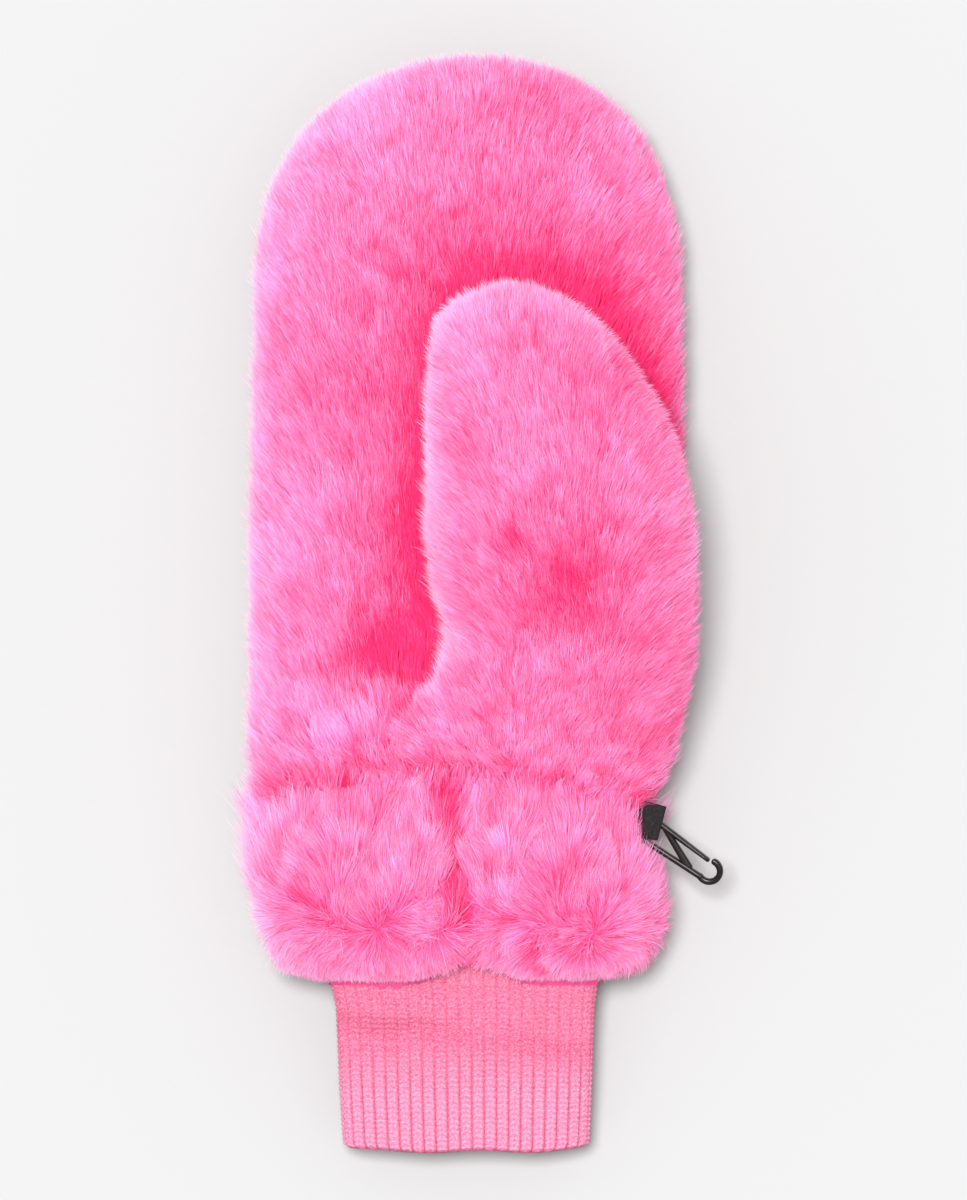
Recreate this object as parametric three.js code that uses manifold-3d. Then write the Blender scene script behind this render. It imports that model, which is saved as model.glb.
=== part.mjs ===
// A right-hand ski mitten of deep pile fabric. It lies on its back with the thumb folded over the palm.
// Millimetres. X runs across the palm towards the thumb, Y from the cuff's hem to the finger tips and
// Z up from the surface that the mitten lies on.
import * as THREE from "three";
import { mergeVertices } from "three/addons/utils/BufferGeometryUtils.js";
import Module from "manifold-3d";

const wasm = await Module();
wasm.setup();

// Driving dimensions
const seamGap = 0.3; // between pieces that are sewn or lie together
const handLength = 212.6; // from the gathered wrist line to the finger tips
const handWidth = 125; // palm, over the pile
const handDepth = 46; // back of the hand to palm, over the pile
const domeHeight = 65; // the rounded end over the fingers
const domeTipX = 3; // how far the finger tips lie towards the thumb
const domePower = 2.2;
const furWall = 13; // pile, backing and padding together
const furPower = 0.72; // 1 is an ellipse, and a lower value a squarer section
const hemToWrist = 100.3; // from the cuff's hem to the gathered wrist line
const wristWidth = 72; // the way in at the gathered wrist line
const wristDepth = 17;
const wristArch = 13; // how much the gathered wrist line sinks from its middle to the mitten's sides
const wristArchReach = 22; // how far along the mitten that arch fades out
const wristArchMiddle = -8; // across the palm
const gauntletLength = 53.5; // fur band under the wrist line
const gauntletWidth = 117;
const gauntletDepth = 49;
const cuffLength = 61; // knitted cuff, with the stretch that is sewn inside the fur band
const cuffWidth = 75.5;
const cuffDepth = 18;
const cuffWall = 3;
const cuffPower = 0.62;
const cuffHemHeight = 14; // middle of the cuff over the surface, at its hem
const cuffSeatHeight = 20.5; // the same at its sewn end
const cuffShift = -1; // middle of the cuff, across the palm
const ribCount = 46;
const ribDepth = 1.1;
const thumbLength = 147; // from the wrist line to the thumb's tip
const thumbReach = 77; // the thumb's top over the surface
const thumbWall = 12;
const thumbUnderWall = 5; // the pressed pile under the thumb
const thumbHoleStart = 0.13; // the hole from the palm into the thumb, as shares of the thumb's length
const thumbHoleEnd = 0.34;
const thumbHoleEdge = 8; // how much farther the hole stays from the hand's edge than the thumb's hollow
const lockLength = 18; // one lock of the pile, from its root row to its tip
const lockWidth = 14;
const lockDepth = 1.8;
const gatherDepth = 2.4; // gathers that fan out from the wrist line into the hand and the fur band
const gatherReach = 16;
const strapWidth = 10.2;
const strapThickness = 1.2;
const strapTail = 9; // sewn in behind the fur, past the hook's bar
const strapTurn = THREE.MathUtils.degToRad(21); // from the hook's run to the strap's
const hookLength = 25.5; // outside to outside
const hookBowRadius = 4;
const hookWire = 1.6;
const hookThickness = 2.6;
const hookSlotWidth = 5; // the slot that the strap passes through
const hookAngle = THREE.MathUtils.degToRad(-36); // the hook's run, from the X axis
const hookRoll = THREE.MathUtils.degToRad(14);
const hookHeight = 25; // over the surface

const pileColor = 0xff5fae;
const knitColor = 0xff78b4;
const strapColor = 0x2a2728;
const hookColor = 0x241b1b;

const wristY = hemToWrist;
const domeStartY = wristY + handLength - domeHeight;

// The tables' columns are shares of the size that each piece's comment names.
// Hand: along is a share of the straight stretch, left and right of handWidth, top and bottom of handDepth.
const handSections = [
  { along: 0.0, left: -0.492, right: 0.405, top: 0.76, bottom: 0.07 },
  { along: 0.05, left: -0.501, right: 0.418, top: 0.86, bottom: 0.02 },
  { along: 0.14, left: -0.506, right: 0.44, top: 0.95, bottom: -0.02 },
  { along: 0.3, left: -0.507, right: 0.468, top: 0.99, bottom: -0.05 },
  { along: 0.5, left: -0.507, right: 0.484, top: 1.0, bottom: -0.055 },
  { along: 0.75, left: -0.501, right: 0.489, top: 1.0, bottom: -0.055 },
  { along: 1.0, left: -0.495, right: 0.484, top: 1.0, bottom: -0.055 },
];
// Thumb: along is a share of thumbLength, left and right of handWidth, top and bottom of thumbReach.
const thumbSections = [
  { along: 0.0, left: -0.3, right: 0.4, top: 0.43, bottom: 0.2 },
  { along: 0.07, left: -0.25, right: 0.448, top: 0.62, bottom: 0.16 },
  { along: 0.18, left: -0.15, right: 0.494, top: 0.79, bottom: 0.16 },
  { along: 0.285, left: -0.052, right: 0.515, top: 0.89, bottom: 0.2 },
  { along: 0.4, left: -0.088, right: 0.519, top: 0.95, bottom: 0.3 },
  { along: 0.55, left: -0.104, right: 0.508, top: 0.99, bottom: 0.4 },
  { along: 0.68, left: -0.106, right: 0.473, top: 1.0, bottom: 0.46 },
  { along: 0.79, left: -0.102, right: 0.412, top: 0.985, bottom: 0.5 },
  { along: 0.885, left: -0.092, right: 0.334, top: 0.945, bottom: 0.53 },
  { along: 0.955, left: -0.05, right: 0.25, top: 0.885, bottom: 0.57 },
  { along: 0.988, left: 0.015, right: 0.18, top: 0.82, bottom: 0.62 },
  { along: 1.0, left: 0.065, right: 0.13, top: 0.76, bottom: 0.67 },
];
// Fur band: along is a share of gauntletLength from the mouth to the wrist line, left and right of
// gauntletWidth, top and bottom of gauntletDepth.
const gauntletSections = [
  { along: 0.0, left: -0.375, right: 0.322, top: 0.73, bottom: 0.12 },
  { along: 0.04, left: -0.43, right: 0.372, top: 0.83, bottom: 0.05 },
  { along: 0.13, left: -0.475, right: 0.428, top: 0.93, bottom: -0.02 },
  { along: 0.3, left: -0.505, right: 0.466, top: 1.0, bottom: -0.06 },
  { along: 0.48, left: -0.522, right: 0.474, top: 1.0, bottom: -0.06 },
  { along: 0.68, left: -0.528, right: 0.452, top: 0.95, bottom: -0.05 },
  { along: 0.85, left: -0.532, right: 0.434, top: 0.86, bottom: 0.0 },
  { along: 1.0, left: -0.525, right: 0.432, top: 0.71, bottom: 0.07 },
];
// Cuff: along is a share of cuffLength from the hem, left and right of cuffWidth.
const cuffSections = [
  { along: 0.0, left: -0.455, right: 0.45 },
  { along: 0.03, left: -0.468, right: 0.463 },
  { along: 0.3, left: -0.482, right: 0.472 },
  { along: 0.55, left: -0.49, right: 0.478 },
  { along: 0.68, left: -0.495, right: 0.482 },
  { along: 0.78, left: -0.515, right: 0.494 },
  { along: 1.0, left: -0.5, right: 0.494 },
];
// Soft folds of the cuff's upper side: x is a share of cuffWidth, y of cuffLength, deep of cuffDepth.
const cuffFolds = [
  { x: -0.36, y: 0.53, wide: 0.2, long: 0.07, deep: 0.2 },
  { x: -0.12, y: 0.58, wide: 0.16, long: 0.06, deep: 0.11 },
  { x: 0.36, y: 0.6, wide: 0.14, long: 0.12, deep: 0.12 },
  { x: -0.3, y: 0.65, wide: 0.2, long: 0.05, deep: -0.09 },
];
// Soft forms of the palm and of the thumb's outer side: x and wide are shares of handWidth, y and long of
// the length from the wrist line, deep of handDepth or thumbReach. A form with a negative depth stands out.
const palmForms = [
  { x: -0.206, y: 0.188, wide: 0.13, long: 0.06, deep: 0.095 },
  { x: -0.229, y: 0.1, wide: 0.25, long: 0.05, deep: -0.05 },
  { x: -0.09, y: 0.36, wide: 0.09, long: 0.2, deep: 0.05 },
];
const thumbForms = [
  { x: 0.238, y: 0.386, wide: 0.08, long: 0.065, deep: 0.05 },
  { x: 0.106, y: 0.49, wide: 0.05, long: 0.04, deep: 0.025 },
];
// Creases of the fur band: x0 at the wrist line and x1 at the mouth are shares of gauntletWidth.
const gauntletCreases = [
  { x0: -0.07, x1: 0.012, wide: 0.045, deep: 0.21 },
  { x0: -0.3, x1: -0.2, wide: 0.04, deep: 0.08 },
  { x0: 0.2, x1: 0.15, wide: 0.04, deep: 0.07 },
];
// How far each row of a lock lies under its tip, as shares of lockDepth.
const lockRows = [
  { ridge: 0.5, valley: 0.75 },
  { ridge: 0.2, valley: 0.9 },
  { ridge: 0.0, valley: 1.0 },
];

// A column of a table at a share of its length, on a smooth curve that doesn't overshoot.
function column(table, name, at) {
  let i = 1;
  while (i < table.length - 1 && table[i].along < at) i += 1;
  const slope = (k) => {
    if (k < 1 || k > table.length - 1) return 0;
    return (table[k][name] - table[k - 1][name]) / (table[k].along - table[k - 1].along);
  };
  const tangent = (k) => {
    const before = slope(k);
    const after = slope(k + 1);
    if (k === 0) return after;
    if (k === table.length - 1) return before;
    return before * after <= 0 ? 0 : (2 * before * after) / (before + after);
  };
  const span = table[i].along - table[i - 1].along;
  const t = THREE.MathUtils.clamp((at - table[i - 1].along) / span, 0, 1);
  const a = table[i - 1][name];
  const b = table[i][name];
  const s = t * t * (3 - 2 * t);
  const bend = t * (1 - t) * ((1 - t) * (tangent(i - 1) * span) - t * (tangent(i) * span));
  return a + (b - a) * s + bend;
}

// A rounded section across Y, with its points evenly spaced round each quarter.
function ring(section, count, power = furPower, relief = () => 0) {
  const quarter = Math.max(1, Math.round(count / 4));
  const fine = 64;
  const halfWide = (section.right - section.left) / 2;
  const halfHigh = (section.top - section.bottom) / 2;
  const midX = (section.right + section.left) / 2;
  const midZ = (section.top + section.bottom) / 2;
  const lengths = [0];
  const at = (angle) => [Math.cos(angle) ** power * halfWide, Math.sin(angle) ** power * halfHigh];
  for (let i = 1; i <= fine; i += 1) {
    const [x0, z0] = at(((i - 1) / fine) * (Math.PI / 2));
    const [x1, z1] = at((i / fine) * (Math.PI / 2));
    lengths.push(lengths[i - 1] + Math.hypot(x1 - x0, z1 - z0));
  }
  const angles = [];
  for (let k = 0; k < quarter; k += 1) {
    const wanted = (lengths[fine] * k) / quarter;
    let i = 1;
    while (lengths[i] < wanted) i += 1;
    const part = (wanted - lengths[i - 1]) / (lengths[i] - lengths[i - 1]);
    angles.push(((i - 1 + part) / fine) * (Math.PI / 2));
  }
  angles.push(Math.PI / 2);
  const points = [];
  for (let k = 0; k < 4 * quarter; k += 1) {
    const turn = Math.floor(k / quarter);
    const step = k % quarter;
    const angle = angles[turn % 2 ? quarter - step : step];
    const signX = turn === 1 || turn === 2 ? -1 : 1;
    const signZ = turn > 1 ? -1 : 1;
    const c = Math.cos(angle);
    const s = Math.sin(angle);
    const x = midX + signX * c ** power * halfWide;
    const z = midZ + signZ * s ** power * halfHigh;
    const normal = new THREE.Vector2(
      (signX * c ** (2 - power)) / halfWide,
      (signZ * s ** (2 - power)) / halfHigh,
    ).normalize();
    const under = relief(k, x, z, signZ);
    points.push(new THREE.Vector3(x - normal.x * under, section.y, z - normal.y * under));
  }
  return points;
}

// A closed body through rings of equal counts, with flat or pointed ends.
function skin(rings) {
  const count = rings[0].length;
  const positions = rings.flat().flatMap((p) => [p.x, p.y, p.z]);
  const faces = [];
  for (let r = 0; r + 1 < rings.length; r += 1) {
    for (let k = 0; k < count; k += 1) {
      const a = r * count + k;
      const b = r * count + ((k + 1) % count);
      faces.push(a, a + count, b, b, a + count, b + count);
    }
  }
  for (const [r, first] of [[0, true], [rings.length - 1, false]]) {
    const middle = rings[r].reduce((sum, p) => sum.add(p), new THREE.Vector3()).divideScalar(count);
    const centre = positions.length / 3;
    positions.push(middle.x, middle.y, middle.z);
    for (let k = 0; k < count; k += 1) {
      const a = r * count + k;
      const b = r * count + ((k + 1) % count);
      faces.push(centre, first ? a : b, first ? b : a);
    }
  }
  const geometry = new THREE.BufferGeometry();
  geometry.setAttribute("position", new THREE.Float32BufferAttribute(positions, 3));
  geometry.setIndex(faces);
  return solid(geometry);
}

function solid(geometry) {
  const bare = new THREE.BufferGeometry();
  bare.setAttribute("position", geometry.getAttribute("position"));
  if (geometry.index) bare.setIndex(geometry.index);
  const merged = mergeVertices(bare, 1e-4);
  return new wasm.Manifold(
    new wasm.Mesh({
      numProp: 3,
      vertProperties: merged.attributes.position.array,
      triVerts: new Uint32Array(merged.index.array),
    }),
  );
}

function mesh(name, body, color, roughness) {
  const found = body.getMesh();
  const geometry = new THREE.BufferGeometry();
  geometry.setAttribute("position", new THREE.BufferAttribute(found.vertProperties, 3));
  geometry.setIndex(new THREE.BufferAttribute(found.triVerts, 1));
  geometry.computeVertexNormals();
  const made = new THREE.Mesh(
    geometry,
    new THREE.MeshStandardMaterial({ color, roughness, metalness: 0, flatShading: true }),
  );
  made.name = name;
  return made;
}

function box(low, high) {
  const size = new THREE.Vector3().subVectors(high, low);
  const middle = new THREE.Vector3().addVectors(low, high).divideScalar(2);
  return solid(new THREE.BoxGeometry(size.x, size.y, size.z).translate(middle.x, middle.y, middle.z));
}

const grown = (section, by) => ({
  ...section,
  left: section.left - by,
  right: section.right + by,
  top: section.top + by,
  bottom: section.bottom - by,
});

// How far the pile lies under the tips of its locks, at a row and column of the surface's grid.
function lockRelief(row, index) {
  const lockRow = Math.floor(row / lockRows.length);
  const onRidge = (index + lockRow) % 2 === 0;
  return lockDepth * lockRows[row % lockRows.length][onRidge ? "ridge" : "valley"];
}

// A ring of pile: locks everywhere but on the flat patch that the mitten rests on.
function pileRing(section, count, row, fade, extra = () => 0) {
  const points = ring(section, count, furPower, (k, x, z, side) =>
    (z < lockDepth * 0.3 ? 0 : lockRelief(row, k) * fade) + extra(x, z, side));
  const rests = (z) => section.bottom < 0 && z < lockDepth * 0.35;
  return points.map((p) => new THREE.Vector3(p.x, p.y, rests(p.z) ? 0 : p.z));
}

const endSpare = 2; // how far bodies are first drawn past the wrist line, before they are cut there

// How far the gathered wrist line lies under wristY, at a place across the palm.
const archSag = (x) => wristArch * ((Math.abs(x - wristArchMiddle) / (handWidth / 2)) ** 3 - 0.15);

// A body whose stretch near the gathered wrist line follows that line's arch.
function archedSkin(rings) {
  const arched = (p) => {
    const away = (p.y - wristY) / wristArchReach;
    return new THREE.Vector3(p.x, p.y - archSag(p.x) * Math.exp(-away * away), p.z);
  };
  return skin(rings.map((points) => points.map(arched)));
}

// Everything on the cuff's side of the arched wrist line, moved along the mitten.
function cuffSide(move) {
  const steps = 12;
  const shape = new THREE.Shape();
  shape.moveTo(-handWidth, -handLength);
  shape.lineTo(handWidth, -handLength);
  for (let i = 0; i <= steps; i += 1) {
    const x = handWidth * (0.6 - (1.2 * i) / steps);
    shape.lineTo(i ? (i < steps ? x : -handWidth) : handWidth, wristY - archSag(x) + move);
  }
  const wall = new THREE.ExtrudeGeometry(shape, { depth: 4 * handDepth, bevelEnabled: false });
  return solid(wall.translate(0, 0, -handDepth));
}

// How deep soft forms lie under a surface, at a place on it.
const sunk = (forms, x, y, length, high) =>
  forms.reduce((sum, f) => {
    const offX = (x / handWidth - f.x) / f.wide;
    const offY = (y / length - f.y) / f.long;
    return sum + f.deep * high * Math.exp(-offX * offX - offY * offY);
  }, 0);

const rowStep = lockLength / lockRows.length;
const evenColumns = (around) => 8 * Math.round(around / lockWidth / 4);

// The hand's outline at a share of its straight stretch, or of its dome when domed.
function handSection(share, domed = false, inset = 0) {
  const at = domed ? 1 : share;
  const angle = domed ? share * (Math.PI / 2) : 0;
  const spread = Math.max(0, Math.cos(angle)) ** (2 / domePower);
  const rise = Math.sin(angle) ** (2 / domePower);
  const left = column(handSections, "left", at) * handWidth + inset;
  const right = column(handSections, "right", at) * handWidth - inset;
  const top = column(handSections, "top", at) * handDepth - inset;
  const low = column(handSections, "bottom", at) * handDepth;
  const bottom = inset ? Math.max(low, 0) + inset : low;
  const midZ = (top + bottom) / 2;
  const thin = spread ** 0.62;
  const y = domed
    ? domeStartY + (domeHeight - inset) * rise
    : THREE.MathUtils.lerp(wristY, domeStartY, share);
  return {
    y,
    left: domed ? domeTipX + (left - domeTipX) * spread : left,
    right: domed ? domeTipX + (right - domeTipX) * spread : right,
    top: midZ + (top - midZ) * thin,
    bottom: midZ + (bottom - midZ) * thin,
  };
}

const handAround = 2 * (handWidth + handDepth) * 0.88;
const handColumns = evenColumns(handAround);

// How deep the gathers are at a distance from the wrist line.
const gathers = (x, away) =>
  gatherDepth * Math.exp(-away / gatherReach) * (0.5 + 0.5 * Math.cos((x / lockWidth) * Math.PI));

const palmRelief = (x, away, side) => (side > 0 ? sunk(palmForms, x, away, handLength, handDepth) : 0);

function handOuter(gap = 0, locks = true) {
  const straight = Math.round((domeStartY - wristY) / rowStep);
  const domed = Math.round((domeHeight * 1.35) / rowStep);
  const rings = [];
  for (let r = 0; r < straight; r += locks ? 1 : 2) {
    const section = grown(handSection(r / straight), gap);
    if (r === 0) section.y -= gap + endSpare;
    rings.push(
      locks
        ? pileRing(section, handColumns, r, r ? 1 : 0.4, (x, z, side) => {
            const away = section.y - wristY;
            return gathers(x, away) + palmRelief(x, away, side);
          })
        : ring(section, handColumns, furPower, (k, x, z, side) => palmRelief(x, section.y - wristY, side)),
    );
  }
  for (let r = 0; r <= domed; r += locks ? 1 : 3) {
    const share = Math.min(r / domed, 0.985);
    const section = grown(handSection(share, true), gap);
    const fade = Math.min(1, (1 - share) * 4);
    rings.push(
      locks ? pileRing(section, handColumns, straight + r, fade) : ring(section, handColumns),
    );
  }
  return archedSkin(rings);
}

function handHollow() {
  const columns = 24;
  const rings = [
    { along: -0.06, wide: 0 },
    { along: 0.0, wide: 0 },
    { along: 0.1, wide: 0.75 },
    { along: 0.2, wide: 1 },
    { along: 0.5, wide: 1 },
    { along: 1.0, wide: 1 },
  ].map(({ along, wide }) => {
    const full = handSection(Math.max(0, along), false, furWall);
    const way = wristSection(full.y);
    const blend = (name) => THREE.MathUtils.lerp(way[name], full[name], wide);
    return ring(
      {
        y: THREE.MathUtils.lerp(wristY, domeStartY, along),
        left: blend("left"),
        right: blend("right"),
        top: blend("top"),
        bottom: blend("bottom"),
      },
      columns,
    );
  });
  for (const share of [0.2, 0.4, 0.6, 0.78, 0.92]) {
    rings.push(ring(handSection(share, true, furWall), columns));
  }
  return skin(rings);
}

// The way in at the wrist line, which the fur band and the hand share.
function wristSection(y) {
  return {
    y,
    left: cuffShift - wristWidth / 2,
    right: cuffShift + wristWidth / 2,
    top: cuffSeatHeight + wristDepth / 2,
    bottom: cuffSeatHeight - wristDepth / 2,
  };
}

function thumbSection(share) {
  return {
    y: wristY + seamGap + share * thumbLength,
    left: column(thumbSections, "left", share) * handWidth,
    right: column(thumbSections, "right", share) * handWidth,
    top: column(thumbSections, "top", share) * thumbReach,
    bottom: column(thumbSections, "bottom", share) * thumbReach,
  };
}

function thumbOuter() {
  const rows = Math.round((thumbLength * 1.04) / rowStep);
  const columns = evenColumns(handAround * 0.68);
  const rings = [];
  for (let r = 0; r <= rows; r += 1) {
    const share = 1 - (1 - r / rows) ** 1.25;
    const section = thumbSection(share);
    const fade = Math.min(1, (1 - share) * 6) * (r ? 1 : 0.4);
    rings.push(
      ring(section, columns, 0.8, (k, x, z, side) => {
        const away = section.y - wristY;
        const form = side > 0 ? sunk(thumbForms, x, away, thumbLength, thumbReach) : 0;
        return (lockRelief(r, k) + gathers(x, away)) * fade + form;
      }),
    );
  }
  return archedSkin(rings);
}

// The thumb's hollow opens down through the palm, into the hand's hollow, between two shares of its length.
function thumbHollow() {
  const floorOver = handDepth + seamGap + thumbUnderWall;
  const holeFloor = handDepth - furWall - 4;
  const end = 0.905;
  const holeShares = [thumbHoleStart, 0.2, 0.27, thumbHoleEnd];
  const roomShares = [thumbHoleEnd + 0.03, 0.5, 0.65, 0.79, 0.87, end];
  const rings = [...holeShares, ...roomShares].map((share) => {
    const outer = thumbSection(share);
    const close = Math.sqrt(Math.max(0.1, 1 - (share / (end + 0.02)) ** 8));
    const open = share <= thumbHoleEnd;
    const left = outer.left + thumbWall;
    const right = outer.right - thumbWall - (open ? thumbHoleEdge : 0);
    const top = outer.top - thumbWall;
    const floor = open ? holeFloor : floorOver;
    const midX = (left + right) / 2;
    const midZ = (top + floor) / 2;
    return ring(
      {
        y: outer.y,
        left: midX - (midX - left) * close,
        right: midX + (right - midX) * close,
        top: midZ + (top - midZ) * close,
        bottom: midZ - (midZ - floor) * close,
      },
      16,
    );
  });
  return skin(rings);
}

function gauntletOuter() {
  const rows = Math.round((gauntletLength * 1.3) / rowStep);
  const columns = evenColumns(2 * (gauntletWidth + gauntletDepth) * 0.9);
  const rings = [];
  for (let r = 0; r <= rows; r += 1) {
    const share = 0.5 - 0.5 * Math.cos((r / rows) * Math.PI);
    const even = THREE.MathUtils.lerp(share, r / rows, 0.55);
    const section = {
      y: wristY - seamGap - gauntletLength * (1 - even) + (r === rows ? endSpare : 0),
      left: column(gauntletSections, "left", even) * gauntletWidth,
      right: column(gauntletSections, "right", even) * gauntletWidth,
      top: column(gauntletSections, "top", even) * gauntletDepth,
      bottom: column(gauntletSections, "bottom", even) * gauntletDepth,
    };
    const away = wristY - section.y;
    const fade = Math.min(1, even * 8, (1 - even) * 6 + 0.3);
    // Creases are shallow at the mouth and at the wrist line.
    const atLine = THREE.MathUtils.smoothstep(even, 0.75, 1);
    const open = THREE.MathUtils.smoothstep(even, -0.15, 0.3) - 0.6 * atLine;
    const creases = (x, side) =>
      side < 0
        ? 0
        : gauntletCreases.reduce((sum, c) => {
            const middle = THREE.MathUtils.lerp(c.x1, c.x0, even) * gauntletWidth;
            const off = (x - middle) / (c.wide * gauntletWidth);
            return sum + c.deep * gauntletDepth * open * Math.exp(-off * off);
          }, 0);
    rings.push(
      pileRing(section, columns, r, fade, (x, z, side) => gathers(x, away) + creases(x, side)),
    );
  }
  return archedSkin(rings);
}

function cuffSection(share, gap = 0) {
  const middle = THREE.MathUtils.lerp(cuffHemHeight, cuffSeatHeight, share);
  return grown(
    {
      y: share * cuffLength,
      left: cuffShift + column(cuffSections, "left", share) * cuffWidth,
      right: cuffShift + column(cuffSections, "right", share) * cuffWidth,
      top: middle + cuffDepth / 2,
      bottom: middle - cuffDepth / 2,
    },
    gap,
  );
}

function ribCuff() {
  const rows = [0, 0.03, 0.5, 0.58, 0.7, 1];
  const fold = (x, y) =>
    cuffFolds.reduce((sum, f) => {
      const offX = (x - cuffShift - f.x * cuffWidth) / (f.wide * cuffWidth);
      const offY = (y - f.y * cuffLength) / (f.long * cuffLength);
      return sum + f.deep * cuffDepth * Math.exp(-offX * offX - offY * offY);
    }, 0);
  const shoulder = 0.2; // of a rib's pitch, from a groove's bottom to the rib's flat top
  const outer = rows.map((share) => {
    const section = cuffSection(share);
    const around = new THREE.CatmullRomCurve3(ring(section, 64, cuffPower), true);
    const points = [];
    const centre = new THREE.Vector3(cuffShift, section.y, (section.top + section.bottom) / 2);
    for (let rib = 0; rib < ribCount; rib += 1) {
      for (const [part, deep] of [[0, ribDepth], [shoulder, 0], [1 - shoulder, 0]]) {
        const at = (rib + part) / ribCount;
        const point = around.getPointAt(at);
        const tangent = around.getTangentAt(at);
        const normal = new THREE.Vector3(tangent.z, 0, -tangent.x);
        if (normal.dot(point.clone().sub(centre)) < 0) normal.negate();
        point.addScaledVector(normal, -deep);
        if (point.z > centre.z + cuffDepth / 4) point.z -= fold(point.x, point.y);
        point.y = section.y;
        points.push(point);
      }
    }
    return points;
  });
  const inner = [-0.02, 0.3, 0.53, 0.66, 1.02].map((share) => {
    const section = cuffSection(THREE.MathUtils.clamp(share, 0, 1), -cuffWall);
    section.y = share * cuffLength;
    return ring(section, 32, cuffPower, (k, x, z, side) => (side > 0 ? fold(x, section.y) * 0.8 : 0));
  });
  return skin(outer).subtract(skin(inner));
}

// The seat in the fur band that the cuff's sewn end lies in, and the way on to the wrist line.
function gauntletHollow() {
  const mouth = (wristY - seamGap - gauntletLength - 2) / cuffLength;
  const seat = skin(
    [mouth, 0.78, 0.88, 1 + seamGap / cuffLength].map((share) => {
      const section = cuffSection(Math.min(share, 1), 2 * seamGap);
      section.y = share * cuffLength;
      return ring(section, 40, cuffPower);
    }),
  );
  const way = skin(
    [cuffLength - 3, cuffLength + 8, wristY + wristArch / 2].map((y) => ring(wristSection(y), 24)),
  );
  return seat.add(way);
}

// The strap and hook lie in a frame of their own: U along the hook from the bow's centre, W across.
const bowCentre = new THREE.Vector3(gauntletWidth * 0.5817, wristY - 20.15, hookHeight);
const clipFrame = new THREE.Matrix4()
  .makeTranslation(bowCentre.x, bowCentre.y, bowCentre.z)
  .multiply(new THREE.Matrix4().makeRotationZ(hookAngle))
  .multiply(new THREE.Matrix4().makeRotationX(hookRoll));

const barU = hookBowRadius - hookLength + hookWire / 2;
const spineW = -hookSlotWidth * 0.62 - hookWire / 2;
const rootW = spineW + hookSlotWidth + hookWire;

// A straight bar with round ends. A thin one lies a little under the hook's two sides.
function stroke(from, to, wide = hookWire, wideEnd = wide, thin = false) {
  const run = new THREE.Vector2(to[0] - from[0], to[1] - from[1]);
  const angle = Math.atan2(run.y, run.x);
  const shape = new THREE.Shape();
  shape.absarc(from[0], from[1], wide / 2, angle + Math.PI / 2, angle + 1.5 * Math.PI);
  shape.absarc(to[0], to[1], wideEnd / 2, angle - Math.PI / 2, angle + Math.PI / 2);
  return thin ? plate(shape, hookThickness * 0.8, 2, 0) : plate(shape, hookThickness);
}

function plate(shape, thick, curveSegments = 2, bevel = 0.3) {
  const geometry = new THREE.ExtrudeGeometry(shape, {
    depth: thick - 2 * bevel,
    bevelEnabled: bevel > 0,
    bevelSize: bevel,
    bevelThickness: bevel,
    bevelOffset: -bevel,
    bevelSegments: 1,
    curveSegments,
  });
  return solid(geometry.translate(0, 0, -thick / 2 + bevel));
}

function hook() {
  const bowEnd = 1.95; // the bow's half turn, in radians
  const inner = hookBowRadius - hookWire * 1.12;
  const bow = new THREE.Shape();
  bow.absarc(0, 0, hookBowRadius, -bowEnd, bowEnd);
  bow.absarc(0, 0, inner, bowEnd, -bowEnd, true);
  const middle = (hookBowRadius + inner) / 2;
  const spineEnd = [middle * Math.cos(bowEnd), -middle * Math.sin(bowEnd)];
  const gateTip = [-hookBowRadius * 0.55, hookBowRadius * 0.61];
  const strutFoot = [-hookBowRadius * 1.35, spineEnd[1] + 0.25];
  const strokes = [
    plate(bow, hookThickness, 7),
    stroke([barU, spineW], spineEnd),
    stroke([barU, spineW], [barU, rootW]),
    stroke([barU, rootW], gateTip, hookWire * 1.1, hookWire * 0.7),
    stroke([barU + hookWire * 2.25, rootW - 0.3], strutFoot, hookWire, hookWire * 1.4, true),
  ];
  return strokes.reduce((all, one) => all.add(one));
}

// The strap is folded round the hook's bar. It is wider than the slot, so its upper part stays in front
// and runs on aslant.
function strap() {
  const round = hookWire / 2 + seamGap;
  const outside = round + strapThickness;
  const rise = hookThickness / 2 + seamGap;
  const profile = new THREE.Shape();
  profile.moveTo(barU - strapTail, rise + strapThickness);
  profile.lineTo(barU + outside - 0.6, rise + strapThickness);
  profile.lineTo(barU + outside, rise + strapThickness - 0.6);
  profile.lineTo(barU + outside, -rise - strapThickness + 0.6);
  profile.lineTo(barU + outside - 0.6, -rise - strapThickness);
  profile.lineTo(barU - strapTail, -rise - strapThickness);
  profile.lineTo(barU - strapTail, -rise);
  profile.lineTo(barU + round, -rise);
  profile.lineTo(barU + round, rise);
  profile.lineTo(barU - strapTail, rise);
  const loopWide = hookSlotWidth - 2 * seamGap;
  const loop = new THREE.ExtrudeGeometry(profile, { depth: loopWide, bevelEnabled: false });
  const loopMiddle = (spineW + rootW) / 2;
  loop.rotateX(Math.PI / 2).translate(0, loopMiddle + loopWide / 2, 0);
  const front = new THREE.BoxGeometry(strapTail + outside, strapWidth, strapThickness);
  front.translate(-(strapTail + outside) / 2, strapWidth / 2, rise + strapThickness / 2);
  front.rotateZ(strapTurn).translate(barU + outside + hookWire * 0.85, loopMiddle - strapThickness / 2, 0);
  return solid(loop).add(solid(front));
}

// Room in the pile for the strap's sewn tail.
function strapPocket() {
  const rise = hookThickness / 2 + seamGap + strapThickness + seamGap;
  const low = new THREE.Vector3(barU - strapTail * 1.3, spineW - hookWire - 2 * seamGap, -rise);
  const high = new THREE.Vector3(barU + hookWire * 2.5, rootW + strapWidth, rise);
  return box(low, high).transform(clipFrame.elements);
}

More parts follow.
